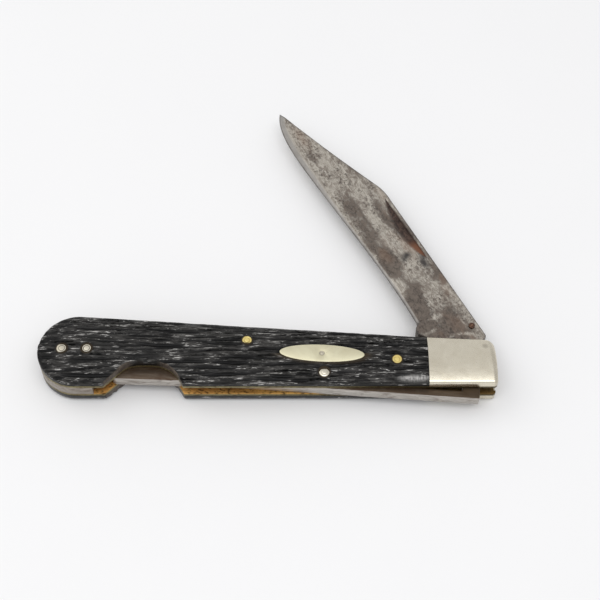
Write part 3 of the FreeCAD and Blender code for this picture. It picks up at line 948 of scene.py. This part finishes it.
def surface_marks(x, y, bevel, seed):
    """One side's patina, pitting and warm stains as weights from 0 to 1."""
    cloud = fractal(x * 0.5, y, 4.0, seed)
    patina = PATINA_LEVEL + (cloud - 0.5) * PATINA_CONTRAST + blobs(x, y, PATINA)
    speckles = fractal(x * 0.7, y, 3.0, seed + 9) + PITTING_GATHERS * blobs(x, y, SPECKLED)
    pitting = smoothstep(*PITTING_EDGE, speckles) * (1 - BEVEL_CLEAN * bevel)
    warm = WARM_STRENGTH * smoothstep(*WARM_EDGE, fractal(x * 0.5, y, 4.5, seed + 17))
    warm = np.clip((warm + blobs(x, y, WARM)) * (1 - bevel), 0, 1)
    ring = np.exp(-((np.hypot(x, y) - RUB_RING_R) / RUB_RING_W) ** 2)
    from_line = x - RUB_LINE_AT[0] - RUB_LINE_SLANT * (y - RUB_LINE_AT[1])
    line = np.exp(-(from_line / RUB_LINE_W) ** 2) * smoothstep(*RUB_LINE_FROM_Y, y)
    rub = ring * (0.5 + fractal(x, y, 1.5, seed + 21)) + RUB_LINE * line
    return np.clip(patina - RUB * rub, 0, 1), pitting, warm


def pit_depth(x, y, pitting, seed):
    """How deep the pits are at each point."""
    return PIT_DEPTH * pitting * smoothstep(*PIT_EDGE, fractal(x, y, 0.9, seed))


def blade_faces(columns, rows):
    """The upper and lower grids' faces, and walls all round between them."""
    base = columns * rows
    faces = column_faces(columns, rows) + [f[::-1] for f in column_faces(columns, rows, base)]
    for i in range(columns - 1):
        a, b = i * rows, (i + 1) * rows
        faces.append((a, base + a, base + b, b))
        faces.append((a + rows - 1, b + rows - 1, base + b + rows - 1, base + a + rows - 1))
    for i in (0, columns - 1):
        a = i * rows
        faces += [(a + j, a + j + 1, base + a + j + 1, base + a + j) for j in range(rows - 1)]
    return faces


def blade_piece():
    edges = node_edges("blade", OPEN_TURN)
    x_low = min(end[:, 0].min() for end in edges)
    x_high = max(end[:, 0].max() for end in edges)
    xs = np.linspace(x_low + END_INSET[0], x_high - END_INSET[1], int((x_high - x_low) / BLADE_STEP))
    low, high = span_at(edges, xs)
    y = rows_between(low, high, BLADE_ROWS, BLADE_RIM_ROWS)
    x = np.repeat(xs[:, None], y.shape[1], 1)
    half, bevel = blade_half_thickness(x, y, low, high)
    depth, nick, rust = nail_nick(x, y)
    patina, pitting, warm = surface_marks(x, y, bevel, seed=31)
    back_patina, back_pitting, back_warm = surface_marks(x, y, bevel, seed=77)
    # Painted shade along the outline, where the rounded edges turn from the light, and dark spots by the
    # nick.
    to_rim = np.minimum(high[:, None] - y, y - low[:, None])
    rim = RIM_SHADE * (1 - smoothstep(*RIM_SHADE_REACH, to_rim))
    rim *= RIM_EVEN + RIM_UNEVEN * (fractal(x, y, size=3.0, seed=44) - RIM_CLOUD)
    spot = np.clip(blobs(x, y, SPOT) * (0.5 + fractal(x, y, size=1.0, seed=52)), 0, 1)
    up = MID_Z + half - pit_depth(x, y, pitting, seed=5) - depth
    down = MID_Z - half + pit_depth(x, y, back_pitting, seed=6)
    plan = turned(np.stack([x.ravel(), y.ravel()], 1), -OPEN_TURN)
    points = np.concatenate([np.concatenate([plan, z.reshape(-1, 1)], 1) for z in (up, down)])
    piece = make_piece("blade_ground", points, blade_faces(*y.shape), BLADE, "blade",
                       BLADE_SMOOTH_DEG)
    none = np.zeros_like(x)
    both = {
        "bevel": (bevel, bevel),
        "patina": (patina, back_patina),
        "pitting": (pitting, back_pitting),
        "warm": (warm, back_warm),
        "rim": (np.maximum(rim, spot), rim),
        "rust": (rust, none),
        "nick": (nick, none),
    }
    for attribute, (top, bottom) in both.items():
        set_attribute(piece, attribute, np.concatenate([top.ravel(), bottom.ravel()]))
    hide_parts("blade")


blade_piece()

# ------------------------------------------------------------------ pins

PIN_SEGMENTS = 40
PIN_SMOOTH_DEG = 50.0
ON_AXIS = 1e-6

# A head is a dome with a ring spun into it.
HEAD_CORNER = 0.15
OUTER_RINGS = (0.94, 0.8, 0.68)
INNER_RINGS = (0.5, 0.3, 0.0)
RING_SHARE = 0.6
RING_DEEP = 0.05
RING_SOFT = 0.1
RING_DARKENING = 0.75
HEAD_RIM = (0.82, 1.0)
HEAD_RIM_DARKENING = 0.8

# How far each kind of pin stands above the crown or is sunk below it, and how high its dome is.
COVER_PIN_PROUD = 0.035
COVER_PIN_DOME = 0.04
COVER_PIN_IN = 0.7
THROUGH_PIN_SUNK = 0.02
BUTT_PIN_DOME = 0.06
LOCK_BAR_PIN_DOME = 0.25
PIVOT_PIN_SUNK = 0.6
STOP_PIN_SUNK = 0.05
LOW_DOME = 0.05
SHIELD_PIN_SUNK = 0.03
SHIELD_PIN_DOME = 0.02


def revolve(name, centre, profile, material, body):
    """A turned piece: profile is (radius, z) from one end of the axis to the other."""
    points = []
    faces = []
    rings = []
    for radius, z in profile:
        if radius < ON_AXIS:
            rings.append([len(points)])
            points.append((centre.x, centre.y, z))
            continue
        ring = []
        for k in range(PIN_SEGMENTS):
            angle = 2 * math.pi * k / PIN_SEGMENTS
            ring.append(len(points))
            points.append((centre.x + radius * math.cos(angle), centre.y + radius * math.sin(angle), z))
        rings.append(ring)
    for a, b in zip(rings, rings[1:]):
        for k in range(PIN_SEGMENTS):
            n = (k + 1) % PIN_SEGMENTS
            if len(a) == 1:
                faces.append((a[0], b[k], b[n]))
            elif len(b) == 1:
                faces.append((a[k], a[n], b[0]))
            else:
                faces.append((a[k], b[k], b[n], a[n]))
    return make_piece(name, points, faces, material, body, PIN_SMOOTH_DEG)


def head(radius, z, dome, out):
    """Half a pin's profile, from its shank to the middle of its head. out is 1 for up, -1 for down."""
    def domed(share):
        return radius * share, z + out * dome * (1 - share ** 2)

    ring_z = z + out * (dome * (1 - RING_SHARE ** 2) - RING_DEEP)
    shank = [(radius, z - out * HEAD_CORNER), (radius, z)]
    ring = [(radius * RING_SHARE, ring_z)]
    return shank + [domed(r) for r in OUTER_RINGS] + ring + [domed(r) for r in INNER_RINGS]


def pin_piece(name, node, z_low, z_high, dome_low, dome_high, material, body="handle"):
    """A pin with a head at each end: the heights of the heads' rims, then of their domes above them."""
    low, high = box_mm(node)
    centre = (low + high) / 2
    radius = (high.x - low.x) / 2
    profile = head(radius, z_low, dome_low, -1)[::-1] + head(radius, z_high, dome_high, 1)
    piece = revolve(name, centre, profile, material, body)
    x, y, _ = points_mm(piece).T
    share = np.hypot(x - centre.x, y - centre.y) / radius
    # Darker rings and rims on the heads. On the tang stop pin this is painted shade of its hole.
    ring = np.exp(-((share - RING_SHARE) / RING_SOFT) ** 2)
    ring = ring + HEAD_RIM_DARKENING * smoothstep(*HEAD_RIM, share)
    set_attribute(piece, "ring", RING_DARKENING * np.clip(ring, 0, 1))
    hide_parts(node)


def surface_z(node):
    """The smooth crown's height over a pin, on the front."""
    centre = middle_mm(node)
    z, _ = crown(np.array([[centre.x]]), np.array([[centre.y]]), TOP_Z - SCALE_SUNK)
    return float(z[0, 0])


def pins():
    """Every pin but the shield's. The back cover's are the front cover's, turned over about MID_Z."""
    for spot in ("rear", "front"):
        node = "front_scale_pin_" + spot
        z = surface_z(node)
        pin_piece(node + "_head", node, FRONT_LINER_Z - COVER_PIN_IN, z + COVER_PIN_PROUD,
                  0.0, COVER_PIN_DOME, PIN_BRASS)
        node = "back_scale_pin_" + spot
        inner_z = 2 * MID_Z - FRONT_LINER_Z + COVER_PIN_IN
        pin_piece(node + "_head", node, 2 * MID_Z - z - COVER_PIN_PROUD, inner_z,
                  COVER_PIN_DOME, 0.0, PIN_BRASS)
    for node, dome in (("butt_pin_rear", BUTT_PIN_DOME), ("butt_pin_front", BUTT_PIN_DOME),
                       ("lock_bar_pin", LOCK_BAR_PIN_DOME)):
        z = surface_z(node)
        pin_piece(node + "_head", node, 2 * MID_Z - z + THROUGH_PIN_SUNK, z - THROUGH_PIN_SUNK,
                  dome, dome, PIN_NICKEL)
    pin_piece("blade_pivot_pin_spun", "blade_pivot_pin", BOTTOM_Z + PIVOT_PIN_SUNK,
              TOP_Z - PIVOT_PIN_SUNK, LOW_DOME, LOW_DOME, BOLSTER_METAL)
    low, high = box_mm("tang_stop_pin")
    pin_piece("tang_stop_pin_worn", "tang_stop_pin", low.z + STOP_PIN_SUNK, high.z - STOP_PIN_SUNK,
              LOW_DOME, LOW_DOME, RUSTY, "blade")


pins()

# ------------------------------------------------------------------ pieces softened from their CAD shape

WELD_M = 1e-7
FLAT_DEG = 1.0
SHARP_DEG = 30.0
BROKEN_SMOOTH_DEG = 40.0
RIM_NORMAL_Z = 0.7

# How wide each piece's edges are broken.
BAR_BROKEN = 0.12
SPRING_BROKEN = 0.06
LINER_BROKEN = 0.05
SHIELD_BROKEN = 0.1

# Painted shade on the bar's upper face towards its front end, and the liners darker towards theirs: from
# where to where it sets in, and how strong it is.
BAR_SHADE_X = (-9.0, -3.0)
BAR_SHADE = 0.75
BAR_TOP = (0.08, 0.02)
LINER_DARKENING_X = (-6.0, 2.0)
LINER_DARKENING = 0.85


def softened(name, node, face_material, rim_material, body, width):
    """The CAD node's own shape with its sharp edges broken, and its own look on its upright rims."""
    mesh = bpy.data.meshes.new(name)
    shape = bmesh.new()
    shape.from_mesh(frame["nodes"][node].data)
    bmesh.ops.remove_doubles(shape, verts=shape.verts, dist=WELD_M)
    bmesh.ops.dissolve_limit(shape, angle_limit=math.radians(FLAT_DEG), verts=shape.verts,
                             edges=shape.edges)
    limit = math.radians(SHARP_DEG)
    sharp = [e for e in shape.edges if len(e.link_faces) == 2 and e.calc_face_angle(0) > limit]
    bmesh.ops.bevel(shape, geom=sharp, offset=width * MM, segments=2, profile=0.5, affect="EDGES",
                    clamp_overlap=True)
    bmesh.ops.triangulate(shape, faces=[f for f in shape.faces if len(f.verts) > 4])
    shape.normal_update()
    rims = [abs(f.normal.z) < RIM_NORMAL_Z for f in shape.faces]
    shape.to_mesh(mesh)
    shape.free()
    piece = dress(mesh, name, face_material, body, BROKEN_SMOOTH_DEG)
    mesh.materials.append(rim_material)
    mesh.polygons.foreach_set("material_index", [int(r) for r in rims])
    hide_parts(node)
    return piece


def bar_spring_and_liners():
    bar = softened("lock_bar_worn", "lock_bar", BAR_FACE, BAR_RIM, "lock_bar",
                   BAR_BROKEN)
    x, _, z = points_mm(bar).T
    on_top = smoothstep(z.max() - BAR_TOP[0], z.max() - BAR_TOP[1], z)
    # Painted shade on the bar's upper face towards its front end, standing in for the shadow it lies in
    # there.
    set_attribute(bar, "grime", BAR_SHADE * smoothstep(*BAR_SHADE_X, x) * on_top)
    spring = softened("back_spring_worn", "back_spring", BAR_FACE, SPACER_RIM, None,
                      SPRING_BROKEN)
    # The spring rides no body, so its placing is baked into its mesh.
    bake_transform(spring)
    for side in ("front", "back"):
        liner = softened(side + "_liner_worn", side + "_liner", LINER_FACE, LINER_RIM, "handle",
                         LINER_BROKEN)
        x = points_mm(liner)[:, 0]
        # Darker towards the front end.
        set_attribute(liner, "grime", LINER_DARKENING * smoothstep(*LINER_DARKENING_X, x))


def shield():
    softened("shield_plate", "shield", SHIELD_METAL, SHIELD_METAL, "handle",
             SHIELD_BROKEN)
    pin_piece("shield_pin_head", "shield_pin", box_mm("shield_pin")[0].z, TOP_Z - SHIELD_PIN_SUNK,
              0.0, SHIELD_PIN_DOME, PIN_NICKEL)


bar_spring_and_liners()
shield()

# ------------------------------------------------------------------ floor, light and camera

FLOOR_HALF_M = 1.5
SKY = (0.985, 0.985, 1.0, 1)
SKY_STRENGTH = 0.74
VIEW_AIM = (-39.6, 20.8, 0.0)
VIEW_AWAY = 334.4
VIEW_UP_DEG = 57.5
LENS = 80.0
SENSOR_W = 36.0
NEAREST_M = 0.01


def floor_material():
    s = Shader("paper_floor", 0.0, 0.8, 0.2)
    cloud = s.noise(s.stretched((1, 1, 1)), 60.0, 3.0)
    s.bump(s.noise(s.stretched((1, 1, 1)), 1.5, 3.0), 0.05, 0.05)
    return s.finish(s.mix(cloud, linear(240, 240, 240), linear(243, 243, 243)))


def stage():
    half = FLOOR_HALF_M
    corners = [(-half, -half, 0), (half, -half, 0), (half, half, 0), (-half, half, 0)]
    mesh = bpy.data.meshes.new("floor")
    mesh.from_pydata(corners, [], [(0, 1, 2, 3)])
    mesh.materials.append(floor_material())
    floor = bpy.data.objects.new("floor", mesh)
    bpy.context.scene.collection.objects.link(floor)


def area_light(name, place, aim, size, watts, colour=(1, 1, 1)):
    """A rectangular lamp. Places and sizes are in metres."""
    data = bpy.data.lights.new(name, "AREA")
    data.shape = "RECTANGLE"
    data.size, data.size_y = size
    data.energy = watts
    data.color = colour
    lamp = bpy.data.objects.new(name, data)
    lamp.location = place
    lamp.rotation_euler = (Vector(aim) - Vector(place)).to_track_quat("-Z", "Y").to_euler()
    bpy.context.scene.collection.objects.link(lamp)


def lights():
    world = bpy.data.worlds.new("studio")
    world.use_nodes = True
    back = world.node_tree.nodes["Background"]
    back.inputs["Color"].default_value = SKY
    back.inputs["Strength"].default_value = SKY_STRENGTH
    bpy.context.scene.world = world
    area_light("overhead", place=(-0.05, -0.24, 0.82), aim=(-0.04, 0, 0), size=(0.9, 0.34), watts=2.3)
    area_light("left_panel", place=(-0.6, 0.25, 0.6), aim=(-0.03, 0.02, 0), size=(0.6, 0.6), watts=1.0,
               colour=(1.0, 0.99, 0.97))


def camera():
    """The viewpoint: in front of the knife's back, looking down at it from a third of a metre away."""
    aim = Vector(VIEW_AIM) * MM
    distance, elevation = VIEW_AWAY * MM, math.radians(VIEW_UP_DEG)
    data = bpy.data.cameras.new("camera")
    data.lens = LENS
    data.sensor_width = SENSOR_W
    data.clip_start = NEAREST_M
    view = bpy.data.objects.new("camera", data)
    view.location = aim + distance * Vector((0, -math.cos(elevation), math.sin(elevation)))
    view.rotation_euler = (aim - view.location).to_track_quat("-Z", "Y").to_euler()
    bpy.context.scene.collection.objects.link(view)
    bpy.context.scene.camera = view
    bpy.context.scene.view_settings.view_transform = "Standard"


stage()
lights()
camera()
